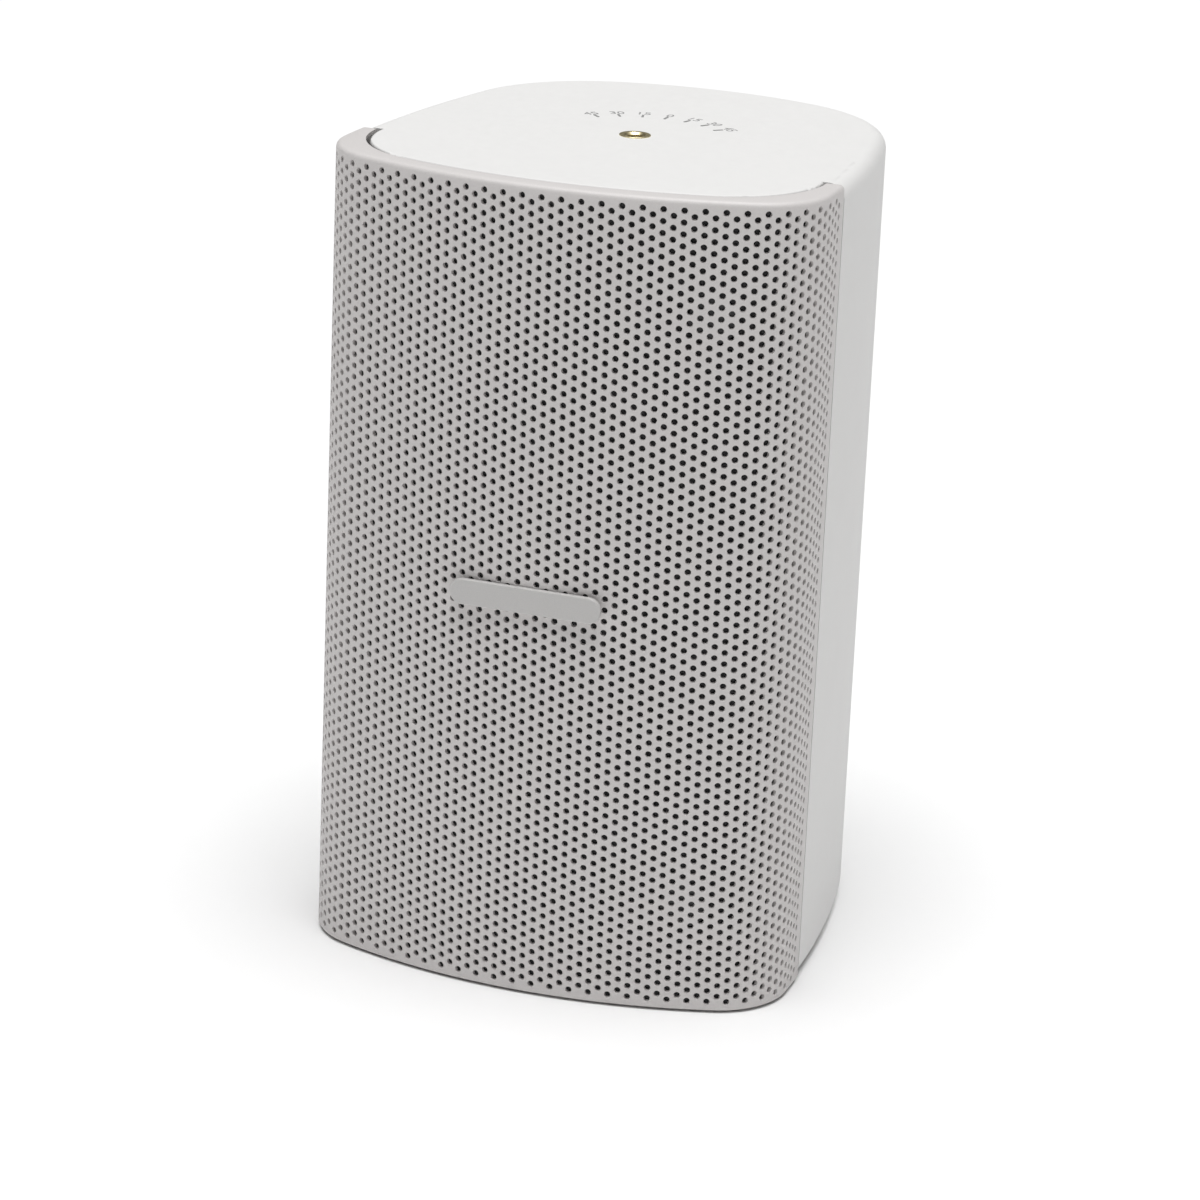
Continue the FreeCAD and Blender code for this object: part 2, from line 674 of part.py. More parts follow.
def half_roll():
    """The rubber half roll between basket and cone."""
    b = BAFFLE_Y - 1.2
    centre = 41.0
    outer = 2.9
    inner = 2.2
    z = WOOFER_Z

    def at(radius, y):
        return Vec(radius, y, z)

    edges = [
        Part.Arc(at(centre - outer, b), at(centre, b - outer), at(centre + outer, b)).toShape(),
        line(at(centre + outer, b), at(centre + inner, b)),
        Part.Arc(at(centre + inner, b), at(centre, b - inner), at(centre - inner, b)).toShape(),
        line(at(centre - inner, b), at(centre - outer, b)),
    ]
    roll = Part.Face(Part.Wire(edges)).revolve(Vec(0, 0, z), Y_AXIS, 360)
    lip = tube(45.0, centre + inner, Vec(0, b - 0.4, z), Vec(0, b + 0.4, z))
    return roll.fuse(lip).removeSplitter()


def woofer():
    b = BAFFLE_Y
    z = WOOFER_Z
    export("woofer_basket", woofer_basket())
    gasket = tube(WOOFER_RADIUS - 0.2, 45.6, Vec(0, b - 0.8, z), Vec(0, b, z))
    for at in WOOFER_SCREWS:
        gasket = gasket.cut(rod(DRIVER_SCREW + FINGER, at - Y_AXIS * 2, at + Y_AXIS * 1))
    export("woofer_gasket", gasket)
    seats = [at - Y_AXIS * 2.8 for at in WOOFER_SCREWS]
    export("woofer_screws", group([screw(at, Y_AXIS, DRIVER_SCREW, 7.6, 2.9, 2.0) for at in seats]))
    export("woofer_top_plate", tube(33.0, 12.4, Vec(0, b + 28.0, z), Vec(0, b + 32.5, z)))
    export("woofer_magnet", tube(35.0, 18.0, Vec(0, b + 32.5, z), Vec(0, b + 46.5, z)))
    yoke = rod(33.0, Vec(0, b + 46.5, z), Vec(0, b + 51.0, z))
    pole = rod(10.1, Vec(0, b + 28.2, z), Vec(0, b + 46.5, z))
    vent = rod(4.0, Vec(0, b + 20.0, z), Vec(0, b + 60.0, z))
    export("woofer_yoke", fused([yoke, pole]).cut(vent))
    export("woofer_surround", half_roll())
    rings = []
    for k in range(4):
        start = 13.6 + 4.6 * k
        rings += [(start, b + 19.0 + 1.2 * (k % 2)), (start + 2.3, b + 19.0 + 1.2 * ((k + 1) % 2))]
    under = [(r, y + 0.6) for r, y in reversed(rings)]
    export("woofer_spider", lathe_y(rings + [(31.9, b + 20.2), (31.9, b + 20.8)] + under, 0, z))
    posts = [box((-45, -42), (b + 17.4, b + 19.0), (z + dz - 2, z + dz + 2)) for dz in (-6, 6)]
    strip = box((-43.0, -35.3), (b + 17.0, b + 19.4), (z - 10, z + 10))
    export("woofer_terminals", fused([strip] + posts))

    front_side = [(11.9, b + 13.0), (37.4, b - 1.6), (37.7, b - 1.2)]
    back_side = [(37.4, b - 0.6), (12.6, b + 13.8), (11.9, b + 13.8)]
    export("woofer_cone", lathe_y(front_side + back_side, 0, z))
    export("dust_cap", dust_cap(15.0, 5.0, b + 11.2, z))
    export("voice_coil", tube(11.9, 10.7, Vec(0, b + 12.6, z), Vec(0, b + 33.0, z)))


def dust_cap(radius, rise, y, z):
    """A thin domed cap whose rim lies at y and whose crown is nearer the front."""
    sphere = (radius * radius + rise * rise) / (2 * rise)
    centre = Vec(0, y - rise + sphere, z)
    shell = Part.makeSphere(sphere, centre).cut(Part.makeSphere(sphere - 0.7, centre))
    return shell.common(rod(radius, Vec(0, y - rise - 1, z), Vec(0, y, z)))


# --- tweeter ------------------------------------------------------------------------------


def tweeter():
    b = BAFFLE_Y
    z = TWEETER_Z
    flare = [
        (13.4, b + 4.0), (13.4, b + 1.6), (16.0, b - 0.4), (20.0, b - 1.6), (27.0, b - 2.4),
        (TWEETER_RADIUS, b - 2.6), (TWEETER_RADIUS, b), (22.6, b), (22.6, b + 4.0),
    ]
    plate = lathe_y(flare, 0, z)
    for at in TWEETER_SCREWS:
        plate = plate.cut(rod(DRIVER_SCREW + FINGER, at - Y_AXIS * 4, at + Y_AXIS * 1))
    export("tweeter_faceplate", plate)
    seats = [at - Y_AXIS * 2.6 for at in TWEETER_SCREWS]
    export("tweeter_screws", group([screw(at, Y_AXIS, DRIVER_SCREW, 7.1, 2.6, 1.8) for at in seats]))
    pot = rod(22.0, Vec(0, b + 4.0, z), Vec(0, b + 22.0, z))
    gap = tube(14.0, 11.2, Vec(0, b + 3.0, z), Vec(0, b + 16.0, z))
    crown = rod(11.5, Vec(0, b + 3.0, z), Vec(0, b + 5.4, z))
    export("tweeter_magnet", pot.cut(gap).cut(crown))
    dome = dust_cap(12.9, 5.0, b + 4.0, z)
    skirt = tube(12.9, 12.0, Vec(0, b + 3.6, z), Vec(0, b + 9.0, z))
    export("tweeter_dome", fused([dome, skirt]))


# --- electronics on the rear panel --------------------------------------------------------


def hole_for(x, z, half_width, half_height):
    through = (PANEL_IN - 1, PANEL_OUT + 1)
    return box((x - half_width, x + half_width), through, (z - half_height, z + half_height))


def input_panel():
    panel = rounded_slab(
        (-PANEL_HALF_WIDTH, PANEL_HALF_WIDTH), (PANEL_IN, PANEL_OUT), (PANEL_LOW, PANEL_HIGH), 4.5
    )
    holes = [hole_for(SOCKET_X, SOCKET_Z, 8.4, 7.2), hole_for(TERMINAL_X, SOCKET_Z, 11.4, 6.0)]
    for x, radius in ((RESET_X, 1.8), (PAIR_X, 3.0), (LIGHT_X, 1.5)):
        holes.append(rod(radius, Vec(x, PANEL_IN - 1, CONTROL_Z), Vec(x, PANEL_OUT + 1, CONTROL_Z)))
    holes.append(hole_for(MUTE_X, CONTROL_Z, 4.2, 1.9))
    for at in PANEL_SCREWS:
        start = Vec(at.x, PANEL_IN - 1, at.z)
        holes.append(rod(PANEL_SCREW + FINGER, start, Vec(at.x, PANEL_OUT + 1, at.z)))
    for at in BOARD_SCREWS:
        start = Vec(at.x, PANEL_IN - 1, at.z)
        holes.append(rod(BOARD_SCREW, start, Vec(at.x, PANEL_IN + 1.4, at.z)))
    return panel.cut(Part.makeCompound(holes))


def input_panel_gasket():
    outer = rounded_slab(
        (-PANEL_HALF_WIDTH + 0.2, PANEL_HALF_WIDTH - 0.2),
        (RECESS_FLOOR, PANEL_IN),
        (PANEL_LOW + 0.2, PANEL_HIGH - 0.2),
        4.5,
    )
    inner = box((-33.8, 33.8), (RECESS_FLOOR - 1, PANEL_IN + 1), (PANEL_LOW + 8.6, PANEL_HIGH - 8.6))
    ring = outer.cut(inner)
    for at in PANEL_SCREWS:
        ring = ring.cut(rod(1.8, Vec(at.x, RECESS_FLOOR - 1, at.z), Vec(at.x, PANEL_IN + 1, at.z)))
    return ring


def network_socket():
    """An eight-way modular jack with its latch notch, ribs inside standing for the contacts."""
    mouth = PANEL_OUT + 0.4
    x = SOCKET_X
    z = SOCKET_Z
    body = box((x - 8.1, x + 8.1), (BOARD_BACK, mouth), (z - 6.9, z + 6.9))
    plug_way = box((x - 5.9, x + 5.9), (mouth - 13.0, mouth + 1), (z - 3.5, z + 3.5))
    latch_way = box((x - 3.2, x + 3.2), (mouth - 9.0, mouth + 1), (z - 5.6, z))
    contacts = []
    for k in range(8):
        at = x + (k - 3.5) * CONTACT_PITCH
        contacts.append(box((at - 0.2, at + 0.2), (mouth - 13.5, mouth - 10.5), (z + 1.6, z + 3.6)))
    return fused([body.cut(plug_way).cut(latch_way)] + contacts)


def terminal_header():
    """A four-way plug-in header for spare power and a line input."""
    mouth = PANEL_OUT + 0.4
    x = TERMINAL_X
    z = SOCKET_Z
    body = box((x - 11.1, x + 11.1), (BOARD_BACK, mouth), (z - 5.7, z + 5.7))
    way = box((x - 10.2, x + 10.2), (mouth - 9.0, mouth + 1), (z - 4.4, z + 4.4))
    pins = []
    for k in range(4):
        at = x + (k - 1.5) * TERMINAL_PITCH
        pins.append(box((at - 0.5, at + 0.5), (mouth - 10, mouth - 3), (z - 2.5, z - 1.5)))
    return fused([body.cut(way)] + pins)


def push_button(x, radius, collar):
    """A push button with its long plunger, which stops against the panel by its collar."""
    start = Vec(x, BOARD_BACK + 4.9, CONTROL_Z)
    plunger = rod(radius - CLEAR, start, Vec(x, PANEL_OUT + 0.8, CONTROL_Z))
    ring = rod(collar, Vec(x, PANEL_IN - 1.8, CONTROL_Z), Vec(x, PANEL_IN - 0.8, CONTROL_Z))
    return fused([plunger, ring])


def controls():
    export("reset_button", push_button(RESET_X, 1.8, 2.8))
    export("pair_button", push_button(PAIR_X, 3.0, 4.0))
    switches = []
    for x in (RESET_X, PAIR_X):
        switches.append(box((x - 3, x + 3), (BOARD_BACK, BOARD_BACK + 3.5), (CONTROL_Z - 3, CONTROL_Z + 3)))
    start = MUTE_X - 0.5 * MUTE_TRAVEL
    tall = (CONTROL_Z - 1.5, CONTROL_Z + 1.5)
    stem = box((start - 1.2, start + 1.2), (BOARD_BACK + 4.8, PANEL_OUT + 1.2), tall)
    foot = box((start - 2.0, start + 2.0), (BOARD_BACK + 4.8, BOARD_BACK + 6.4), tall)
    export("mute_slider", fused([stem, foot]))
    across = (MUTE_X - 5.5, MUTE_X + 5.5)
    switches.append(box(across, (BOARD_BACK, BOARD_BACK + 4.4), (CONTROL_Z - 2.5, CONTROL_Z + 2.5)))
    export("board_switches", group(switches))
    pipe = rod(1.5, Vec(LIGHT_X, BOARD_BACK + 1.0, CONTROL_Z), Vec(LIGHT_X, PANEL_OUT + 0.2, CONTROL_Z))
    foot = rod(2.4, Vec(LIGHT_X, BOARD_BACK, CONTROL_Z), Vec(LIGHT_X, BOARD_BACK + 1.6, CONTROL_Z))
    export("status_light_pipe", fused([pipe, foot]))


def main_board():
    board = rounded_slab(
        (-BOARD_HALF_WIDTH, BOARD_HALF_WIDTH), (BOARD_FRONT, BOARD_BACK), (BOARD_LOW, BOARD_HIGH), 2.0
    )
    for at in BOARD_SCREWS:
        board = board.cut(rod(BOARD_SCREW + FINGER, at - Y_AXIS, at + Y_AXIS * 4))
    return board


def board_parts():
    """What is soldered to the board: tall parts on its front, flat ones towards the panel."""
    y = BOARD_FRONT
    cans = [rod(5.0, Vec(x, y - 14.0, 176), Vec(x, y, 176)) for x in (-14, 0, 14)]
    export("capacitors", group(cans))
    coils = []
    for x in (-22, -8, 6, 20):
        coil = box((x - 5, x + 5), (y - 6, y), (153, 163))
        edges = [e for e in coil.Edges if abs(e.Vertexes[0].Y - e.Vertexes[-1].Y) > 3]
        coils.append(coil.makeFillet(1.5, edges))
    export("inductors", group(coils))
    core = box((-26, -8), (y - 12, y), (122, 140))
    bobbin = box((-24, -10), (y - 11, y - 1), (120, 142))
    export("isolation_transformer", fused([core, bobbin]))
    y = BOARD_BACK
    export("amplifier_chip", box((-5, 5), (y, y + 1.6), (150, 160)))
    spreader = box((-14, 14), (y + 1.6, PANEL_IN), (142, 168))
    slots = [box((x - 1.5, x + 1.5), (y + 4.0, PANEL_IN - 3.0), (141, 169)) for x in (-9, -3, 3, 9)]
    export("heat_spreader", spreader.cut(Part.makeCompound(slots)))
    module = box((-29, -1), (y + 1.0, y + 2.2), (121, 139))
    pads = box((-28, -2), (y, y + 1.0), (122, 138))
    can = box((-24, -6), (y + 2.2, y + 4.6), (123, 137))
    export("processor_module", fused([module, pads, can]))
    carrier = box((4, 22), (y, y + 1.0), (121, 139))
    shield = box((5.5, 20.5), (y + 1.0, y + 3.0), (122, 133))
    export("wireless_module", fused([carrier, shield]))


def electronics():
    export("input_panel", input_panel())
    export("input_panel_gasket", input_panel_gasket())
    fasteners = [screw(at, Y_AXIS * -1, PANEL_SCREW, 12.0, 3.0, 2.2) for at in PANEL_SCREWS]
    export("input_panel_screws", group(fasteners))
    export("main_board", main_board())
    posts = []
    for at in BOARD_SCREWS:
        start = Vec(at.x, BOARD_BACK, at.z)
        posts.append(tube(2.5, BOARD_SCREW, start, start + Y_AXIS * BOARD_TO_PANEL))
    export("board_standoffs", group(posts))
    export("board_screws", group([screw(at, Y_AXIS, BOARD_SCREW, 12.0, 2.4, 1.8) for at in BOARD_SCREWS]))
    board_parts()
    export("network_socket", network_socket())
    export("terminal_header", terminal_header())
    controls()


# --- leads and damping --------------------------------------------------------------------


def lead(points, radius, bend):
    """A wire pair along straight runs that are joined by tangent arcs of one radius."""
    edges = []
    here = points[0]
    for corner, after in zip(points[1:-1], points[2:]):
        into = (corner - here).normalize()
        away = (after - corner).normalize()
        half_turn = 0.5 * atan2(into.cross(away).Length, into.dot(away))
        setback = bend * sin(half_turn) / cos(half_turn)
        begin = corner - into * setback
        finish = corner + away * setback
        to_centre = (away - into).normalize()
        centre = corner + to_centre * (bend / cos(half_turn))
        edges.append(line(here, begin))
        edges.append(Part.Arc(begin, centre - to_centre * bend, finish).toShape())
        here = finish
    edges.append(line(here, points[-1]))
    path = Part.Wire(edges)
    section = Part.Wire(Part.makeCircle(radius, points[0], points[1] - points[0]))
    return path.makePipeShell([section], True, True)


def leads():
    y = BOARD_FRONT
    b = BAFFLE_Y
    woofer_lead = [
        Vec(-22, y, 100),
        Vec(-22, y - 14, 100),
        Vec(-48, y - 32, 92),
        Vec(-41, b + 42, 77),
        Vec(-40, b + 19.4, 76),
    ]
    export("woofer_lead", lead(woofer_lead, 1.4, 7.0))
    tweeter_lead = [
        Vec(24, y, 146),
        Vec(24, y - 16, 146),
        Vec(9, b + 42, 178),
        Vec(8, b + 22.0, 180),
    ]
    export("tweeter_lead", lead(tweeter_lead, 1.4, 8.0))
    microphone_lead = [
        Vec(29, y, 168),
        Vec(29, y - 16, 168),
        Vec(52, b + 44, 200),
        Vec(LEAD_X, b + 18, MICROPHONE_Z),
        Vec(LEAD_X, b - 2.0, MICROPHONE_Z),
    ]
    export("microphone_lead", lead(microphone_lead, 1.0, 8.0))


def main():
    os.makedirs("parts", exist_ok=True)
    export("cabinet_shell", cabinet_shell())
    export("angle_scale", angle_scale())
    export("panel_frame", panel_frame())
    inserts()
    grille_and_badge()
    baffle_group()
    woofer()
    tweeter()
    electronics()
    leads()
    pad = rounded_slab((-42, 42), (PIVOT_Y - 24, PIVOT_Y - 4), (182, 228), 6.0)
    export("damping_pad", pad)


main()
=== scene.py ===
import json
from math import cos, pi, radians, sin, sqrt

import bmesh
import bpy
from mathutils import Matrix, Vector
from mathutils.geometry import delaunay_2d_cdt


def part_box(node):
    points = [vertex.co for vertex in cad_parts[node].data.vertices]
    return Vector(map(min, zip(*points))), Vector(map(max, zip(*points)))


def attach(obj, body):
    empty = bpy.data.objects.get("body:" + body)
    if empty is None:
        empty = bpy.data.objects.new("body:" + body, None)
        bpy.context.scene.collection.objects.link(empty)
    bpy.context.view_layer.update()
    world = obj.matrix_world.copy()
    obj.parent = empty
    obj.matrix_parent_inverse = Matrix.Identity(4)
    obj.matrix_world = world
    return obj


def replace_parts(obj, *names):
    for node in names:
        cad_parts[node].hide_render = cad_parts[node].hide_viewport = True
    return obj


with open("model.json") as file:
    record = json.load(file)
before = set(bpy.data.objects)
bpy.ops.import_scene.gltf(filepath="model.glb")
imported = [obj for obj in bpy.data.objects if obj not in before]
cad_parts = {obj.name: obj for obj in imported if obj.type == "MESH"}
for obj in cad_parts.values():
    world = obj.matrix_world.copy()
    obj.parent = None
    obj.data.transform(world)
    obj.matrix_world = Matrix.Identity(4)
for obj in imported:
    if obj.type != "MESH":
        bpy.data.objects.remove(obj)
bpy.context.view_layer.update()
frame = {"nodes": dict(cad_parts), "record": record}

MM = 0.001
nodes = frame["nodes"]
mounts = {m["name"]: Vector(m["pos_m"]) / MM for m in frame["record"]["mounts"]}

# --- dimensions, in millimetres, as in the CAD model --------------------------------------

# Plan of the outside: tangent arcs of (radius, angle of the outward normal where it ends).
BODY_ARCS = [(172.0, 21.0), (24.3, 90.5), (418.0, 92.2)]
CORE_ARCS_INSET = 7.5
CORE_CORNER_RADIUS = 32.0
CORE_HALF_WIDTH = 70.2
RIM_GAP = 1.3
SHEET = 1.2
SHEET_BEND = 1.6
BUSH_RADIUS = 3.0

HOLE_PITCH = 3.5
HOLE_RADIUS = 1.0
HOLE_COLUMNS = 33
HOLE_MARGIN = 3.35
HOLE_WEB = 0.2
HOLE_SIDES_OUTSIDE = 12
HOLE_SIDES_INSIDE = 6
BUSH_SIDES = 24
SPANS_ACROSS = 140
SPANS_UP = 72
BEND_STEPS = 5

grille_low, grille_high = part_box("grille_tray")
FRONT = grille_low.y / MM
SHEET_TOP = grille_high.z / MM
BADGE_Z = 0.5 * (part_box("badge")[0].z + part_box("badge")[1].z) / MM


# --- materials ----------------------------------------------------------------------------


class Nodes:
    """A material under construction: a node tree with a Principled shader and its helpers."""

    def __init__(self, name, colour, roughness, metallic=0.0, **sockets):
        self.material = bpy.data.materials.new(name)
        self.material.use_nodes = True
        self.tree = self.material.node_tree
        self.shader = self.tree.nodes["Principled BSDF"]
        self.set("Base Color", (*colour, 1.0))
        self.set("Roughness", roughness)
        self.set("Metallic", metallic)
        for socket, value in sockets.items():
            self.set(socket.replace("_", " "), value)
        self.colour = colour
        self.roughness = roughness
        self.place = self.add("ShaderNodeTexCoord").outputs["Object"]

    def set(self, socket, value):
        self.shader.inputs[socket].default_value = value

    def add(self, kind):
        return self.tree.nodes.new(kind)

    def link(self, output, target):
        self.tree.links.new(output, target)

    def stretched(self, x, y, z):
        """Object coordinates scaled by a factor along each axis."""
        mapping = self.add("ShaderNodeMapping")
        mapping.inputs["Scale"].default_value = (x, y, z)
        self.link(self.place, mapping.inputs["Vector"])
        return mapping.outputs["Vector"]

    def noise(self, size_mm, detail=2.0, place=None):
        """Noise whose blobs are about size_mm across."""
        node = self.add("ShaderNodeTexNoise")
        node.inputs["Scale"].default_value = 1000.0 / size_mm
        node.inputs["Detail"].default_value = detail
        self.link(place or self.place, node.inputs["Vector"])
        return node.outputs["Fac"]

    def cells(self, size_mm):
        """Distance from the middle of cells that are about size_mm across."""
        node = self.add("ShaderNodeTexVoronoi")
        node.inputs["Scale"].default_value = 1000.0 / size_mm
        self.link(self.place, node.inputs["Vector"])
        return node.outputs["Distance"]

    def spread(self, value, low, high):
        """Maps the middle of a 0-1 texture to a range."""
        node = self.add("ShaderNodeMapRange")
        node.inputs["From Min"].default_value = 0.25
        node.inputs["From Max"].default_value = 0.75
        node.inputs["To Min"].default_value = low
        node.inputs["To Max"].default_value = high
        self.link(value, node.inputs["Value"])
        return node.outputs["Result"]

    def tint(self, value, amount):
        """Varies the base colour by a share either way, by a 0-1 texture."""
        ramp = self.add("ShaderNodeValToRGB")
        ramp.color_ramp.elements[0].position = 0.3
        ramp.color_ramp.elements[1].position = 0.7
        dark = [c * (1.0 - amount) for c in self.colour]
        light = [min(1.0, c * (1.0 + amount)) for c in self.colour]
        ramp.color_ramp.elements[0].color = (*dark, 1.0)
        ramp.color_ramp.elements[1].color = (*light, 1.0)
        self.link(value, ramp.inputs["Fac"])
        self.link(ramp.outputs["Color"], self.shader.inputs["Base Color"])

    def rough(self, value, amount):
        """Varies the roughness by an amount either way, by a 0-1 texture."""
        result = self.spread(value, self.roughness - amount, self.roughness + amount)
        self.link(result, self.shader.inputs["Roughness"])

    def soft_edges(self, radius_mm):
        """A normal that rounds the edges between faces by a radius."""
        node = self.add("ShaderNodeBevel")
        node.samples = 4
        node.inputs["Radius"].default_value = radius_mm * MM
        return node.outputs["Normal"]

    def bump(self, value, depth_mm, before=None):
        """Adds relief of about depth_mm. A second layer takes the first as before."""
        node = self.add("ShaderNodeBump")
        node.inputs["Distance"].default_value = depth_mm * MM
        node.inputs["Strength"].default_value = 1.0
        self.link(value, node.inputs["Height"])
        if before is not None:
            self.link(before, node.inputs["Normal"])
        self.link(node.outputs["Normal"], self.shader.inputs["Normal"])
        return node.outputs["Normal"]


def moulded(name, colour, roughness, grain=0.45, depth=0.012, tint=0.006, **sockets):
    """Moulded plastic with softened edges and a fine spark-eroded grain."""
    m = Nodes(name, colour, roughness, **sockets)
    m.tint(m.noise(14.0, 3.0), tint)
    m.rough(m.noise(3.0, 4.0), 0.05)
    m.bump(m.noise(grain, 3.0), depth, before=m.soft_edges(0.25))
    return m.material


def powder_coat(name, colour, roughness, peel=0.55, depth=0.02, tint=0.03):
    """Powder coat: a pebbled film with small lighter and darker flecks."""
    m = Nodes(name, colour, roughness)
    m.tint(m.noise(0.35, 2.0), tint)
    m.rough(m.noise(1.6, 3.0), 0.06)
    first = m.bump(m.noise(peel, 1.5), depth, before=m.soft_edges(0.2))
    m.bump(m.cells(0.25), 0.006, before=first)
    return m.material


def turned_metal(name, colour, roughness, scale=(1.0, 1.0, 12.0)):
    """Machined metal with fine tool marks that run round or along one axis."""
    m = Nodes(name, colour, roughness, metallic=1.0)
    place = m.stretched(*scale)
    m.tint(m.noise(1.2, 3.0), 0.06)
    m.rough(m.noise(0.6, 4.0, place), 0.09)
    m.bump(m.noise(0.35, 3.0, place), 0.004, before=m.soft_edges(0.12))
    return m.material


def rubber(name, colour, roughness=0.72):
    """Rubber or soft vinyl, slightly uneven in colour."""
    m = Nodes(name, colour, roughness)
    m.tint(m.noise(5.0, 4.0), 0.12)
    m.rough(m.noise(1.5, 4.0), 0.08)
    m.bump(m.noise(0.3, 4.0), 0.01)
    return m.material


def open_foam(name, colour):
    """Open-cell foam: pits about half a millimetre across, sunk by a bump, with painted shade that darkens
    their colour towards the middle.
    """
    m = Nodes(name, colour, 0.95)
    cells = m.cells(0.7)
    # painted shade: the same cell distance that sinks the pits also darkens their colour towards the middle
    # of each pit
    m.tint(cells, 0.45)
    m.bump(cells, 0.25)
    return m.material


def woven(name, colour, pitch):
    """Treated cloth: threads that cross at right angles."""
    m = Nodes(name, colour, 0.85)
    height = None
    for direction in ("X", "Z"):
        wave = m.add("ShaderNodeTexWave")
        wave.bands_direction = direction
        wave.inputs["Scale"].default_value = 1000.0 / pitch / (2.0 * pi) * 0.5
        m.link(m.place, wave.inputs["Vector"])
        height = m.bump(wave.outputs["Fac"], 0.06, before=height)
    m.tint(m.noise(1.2, 3.0), 0.1)
    m.rough(m.noise(2.0, 2.0), 0.05)
    return m.material


def solder_mask(name, colour):
    """A circuit board: a glossy film with faint tracks under it."""
    m = Nodes(name, colour, 0.34)
    brick = m.add("ShaderNodeTexBrick")
    brick.inputs["Scale"].default_value = 260.0
    brick.inputs["Mortar Size"].default_value = 0.06
    m.link(m.place, brick.inputs["Vector"])
    m.tint(brick.outputs["Fac"], 0.25)
    m.rough(m.noise(4.0, 3.0), 0.08)
    m.bump(brick.outputs["Fac"], 0.02)
    return m.material


MATERIALS = {
    "white_plastic": moulded("white_plastic", (0.835, 0.83, 0.82), 0.5, Specular_IOR_Level=0.3),
    "grille_paint": powder_coat("grille_paint", (0.685, 0.66, 0.65), 0.5),
    "badge_grey": powder_coat("badge_grey", (0.585, 0.575, 0.565), 0.38, peel=0.3, depth=0.006),
    "brass": turned_metal("brass", (0.76, 0.67, 0.42), 0.42),
    "black_plastic": moulded("black_plastic", (0.025, 0.025, 0.027), 0.46, tint=0.1),
    "foam_charcoal": open_foam("foam_charcoal", (0.035, 0.035, 0.037)),
    "rubber_black": rubber("rubber_black", (0.022, 0.022, 0.023)),
    "steel_zinc": turned_metal("steel_zinc", (0.60, 0.61, 0.62), 0.32),
    "black_steel": powder_coat("black_steel", (0.03, 0.03, 0.031), 0.42, tint=0.1),
    "ferrite": moulded("ferrite", (0.07, 0.07, 0.073), 0.55, grain=0.3, depth=0.02, tint=0.1),
    "copper": turned_metal("copper", (0.68, 0.32, 0.18), 0.3),
    "cone_grey": moulded("cone_grey", (0.055, 0.055, 0.058), 0.55, grain=0.8, depth=0.03, tint=0.12),
    "silk": woven("silk", (0.04, 0.04, 0.043), pitch=0.35),
    "spider_cloth": woven("spider_cloth", (0.45, 0.30, 0.12), pitch=0.8),
    "board_green": solder_mask("board_green", (0.02, 0.15, 0.07)),
    "aluminium": turned_metal("aluminium", (0.74, 0.75, 0.76), 0.35, scale=(1.0, 1.0, 0.08)),
    "panel_paint": powder_coat("panel_paint", (0.62, 0.62, 0.61), 0.45),
    "terminal_green": moulded("terminal_green", (0.05, 0.30, 0.09), 0.42, tint=0.05),
    "light_pipe": moulded("light_pipe", (0.75, 0.80, 0.77), 0.15, depth=0.003),
    "button_grey": moulded("button_grey", (0.12, 0.12, 0.125), 0.5, tint=0.05),
    "wire_black": rubber("wire_black", (0.03, 0.03, 0.032), 0.5),
    "mark_grey": moulded("mark_grey", (0.34, 0.34, 0.34), 0.5, depth=0.004),
    "capacitor_sleeve": moulded("capacitor_sleeve", (0.03, 0.035, 0.07), 0.3, depth=0.004),
}

for node in frame["record"]["subparts"]:
    nodes[node["node"]].data.materials.clear()
    nodes[node["node"]].data.materials.append(MATERIALS[node["material_slot"]])


# --- mesh helpers -------------------------------------------------------------------------


def piece(name, verts, faces, slot, body, sharp=35.0):
    """A mesh piece from millimetre points, shaded smooth except at its sharp edges."""
    mesh = bpy.data.meshes.new(name)
    mesh.from_pydata([Vector(v) * MM for v in verts], [], faces)
    bm = bmesh.new()
    bm.from_mesh(mesh)
    bmesh.ops.recalc_face_normals(bm, faces=bm.faces)
    for face in bm.faces:
        face.smooth = True
    bm.to_mesh(mesh)
    bm.free()
    mesh.set_sharp_from_angle(angle=radians(sharp))
    mesh.materials.append(MATERIALS[slot])
    made = bpy.data.objects.new(name, mesh)
    bpy.context.scene.collection.objects.link(made)
    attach(made, body)
    return made


def normal(angle):
    return Vector((sin(radians(angle)), -cos(radians(angle))))


class Outline:
    """The right half of a plan outline by arc length, mirrored for negative lengths."""

    def __init__(self, arcs, front):
        self.arcs = []
        point = Vector((0.0, front))
        begin = 0.0
        start = 0.0
        for radius, end in arcs:
            centre = point - normal(begin) * radius
            self.arcs.append((start, radius, begin, centre))
            start += radius * radians(end - begin)
            point = centre + normal(end) * radius
            begin = end
        self.length = start

    def at(self, s, inset=0.0):
        """The point at arc length s, drawn in by inset, and the outward normal there."""
        side = -1.0 if s < 0 else 1.0
        start, radius, begin, centre = [a for a in self.arcs if a[0] <= abs(s) + 1e-9][-1]
        out = normal(begin + (abs(s) - start) / radius * 180.0 / pi)
        point = centre + out * (radius - inset)
        return Vector((side * point.x, point.y)), Vector((side * out.x, out.y))


BODY = Outline(BODY_ARCS, FRONT)


def inside_core(x, y, grow):
    """Whether a plan point lies inside the core's outline grown by an amount."""
    x = abs(x)
    front_radius = BODY_ARCS[0][0] - CORE_ARCS_INSET
    corner = CORE_CORNER_RADIUS
    centre_y = FRONT + CORE_ARCS_INSET + front_radius
    corner_x = CORE_HALF_WIDTH - corner
    corner_y = centre_y - sqrt((front_radius - corner) ** 2 - corner_x**2)
    if x > CORE_HALF_WIDTH + grow:
        return False
    if y > corner_y:
        return True
    beyond = (x - corner_x) * (centre_y - corner_y) > corner_x * (corner_y - y)
    if beyond:
        return (x - corner_x) ** 2 + (y - corner_y) ** 2 < (corner + grow) ** 2
    return x**2 + (y - centre_y) ** 2 < (front_radius + grow) ** 2


